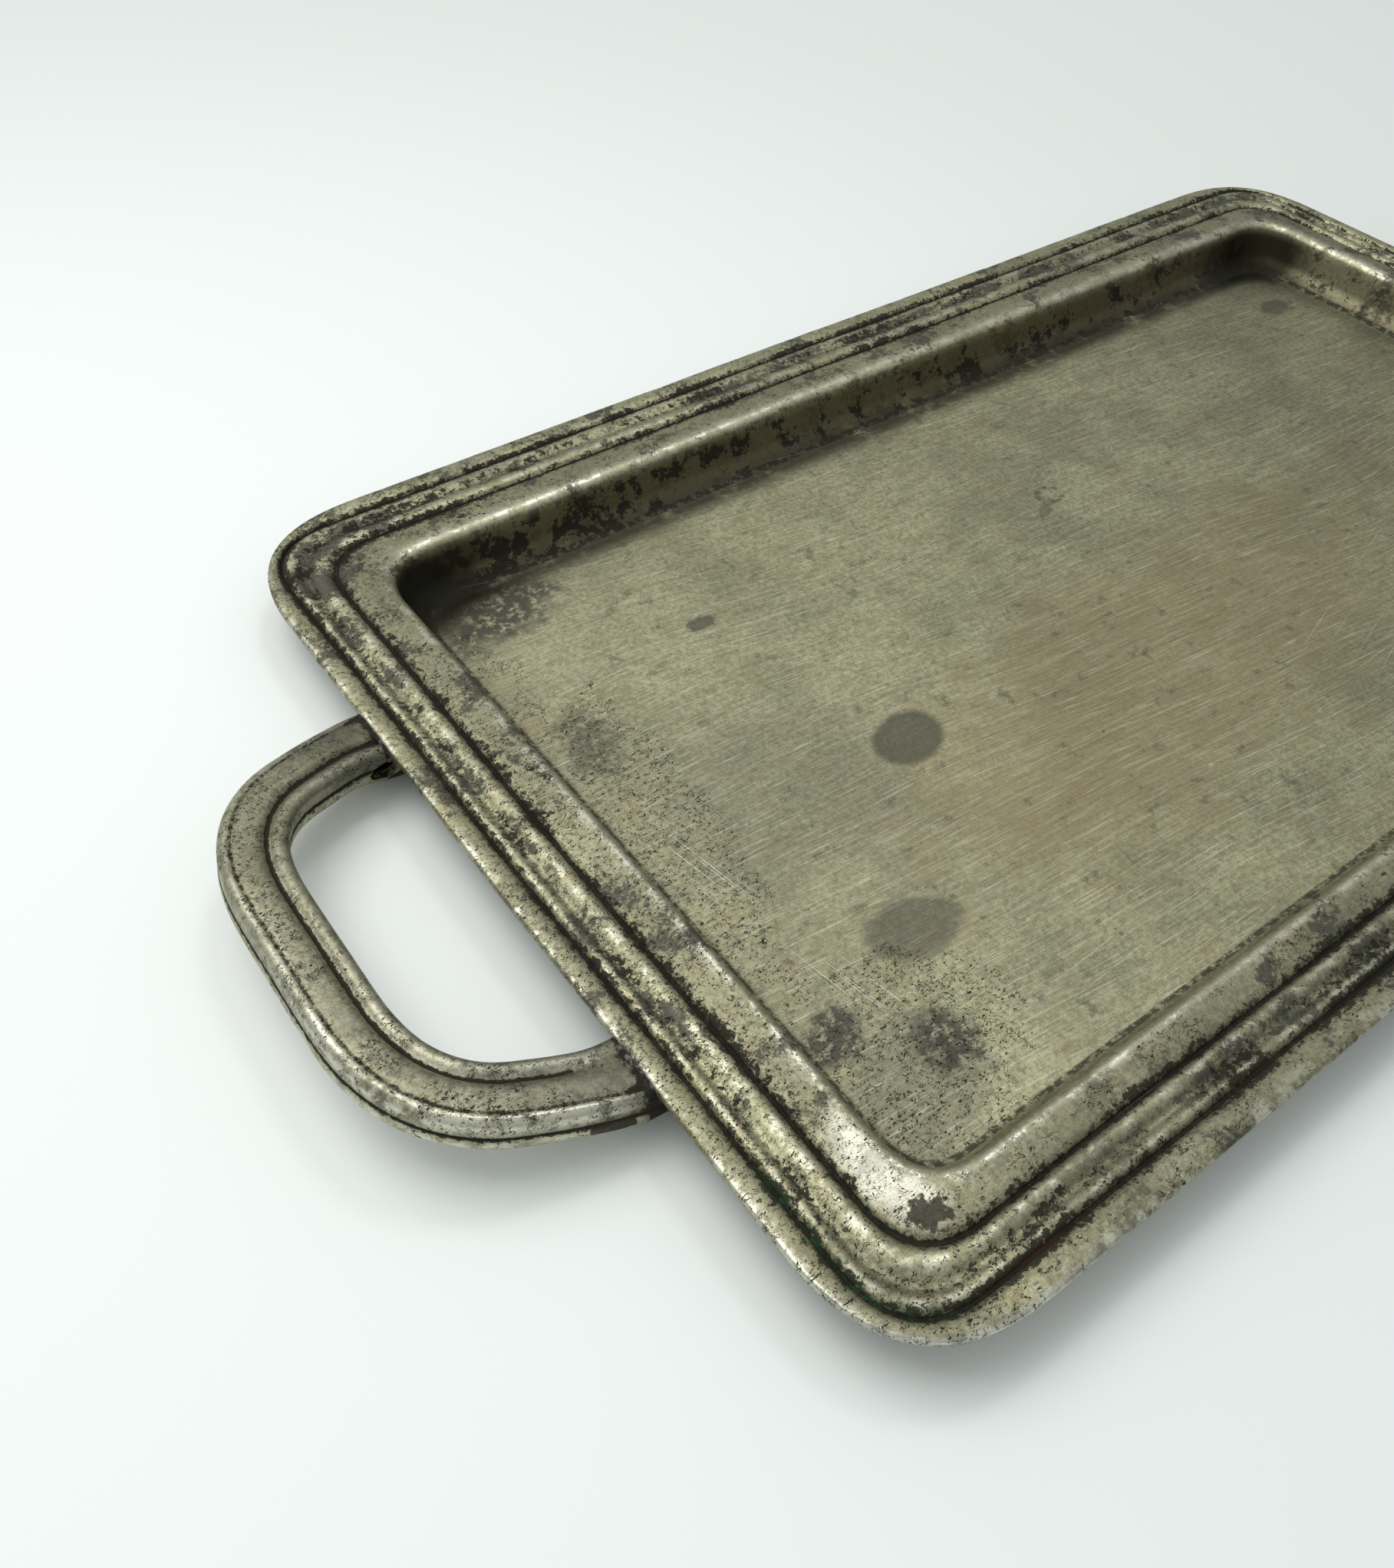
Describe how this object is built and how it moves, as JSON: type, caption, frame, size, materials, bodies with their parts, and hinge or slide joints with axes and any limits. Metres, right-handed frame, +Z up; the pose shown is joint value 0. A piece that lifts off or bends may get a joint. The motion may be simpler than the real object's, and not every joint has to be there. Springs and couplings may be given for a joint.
{
  "type": "dresser vanity tray",
  "caption": "Rectangular metal vanity tray with a sunken floor, stepped moulded rim and a hollow loop handle at each end.",
  "frame": {"origin": "centre of the flat underside of the floor, on the surface that the tray stands on", "axes": "+X along the long side from one handle to the other, +Y across the tray, +Z up"},
  "size_m": [0.3384, 0.177, 0.0154],
  "materials": {
    "pan_metal": "worn satin nickel silver, tarnished, pitted and finely scratched",
    "handle_upper_metal": "worn satin nickel silver with dark tarnish in the groove",
    "handle_under_metal": "worn satin nickel silver, smooth",
    "solder": "dull dark grey solder with tarnish"
  },
  "bodies": {
    "root": {"tray_pan": "pan_metal", "left_handle_upper_shell": "handle_upper_metal", "left_handle_under_shell": "handle_under_metal", "right_handle_upper_shell": "handle_upper_metal", "right_handle_under_shell": "handle_under_metal", "left_far_solder_fillet": "solder", "left_near_solder_fillet": "solder", "right_far_solder_fillet": "solder", "right_near_solder_fillet": "solder"}
  },
  "joints": []
}
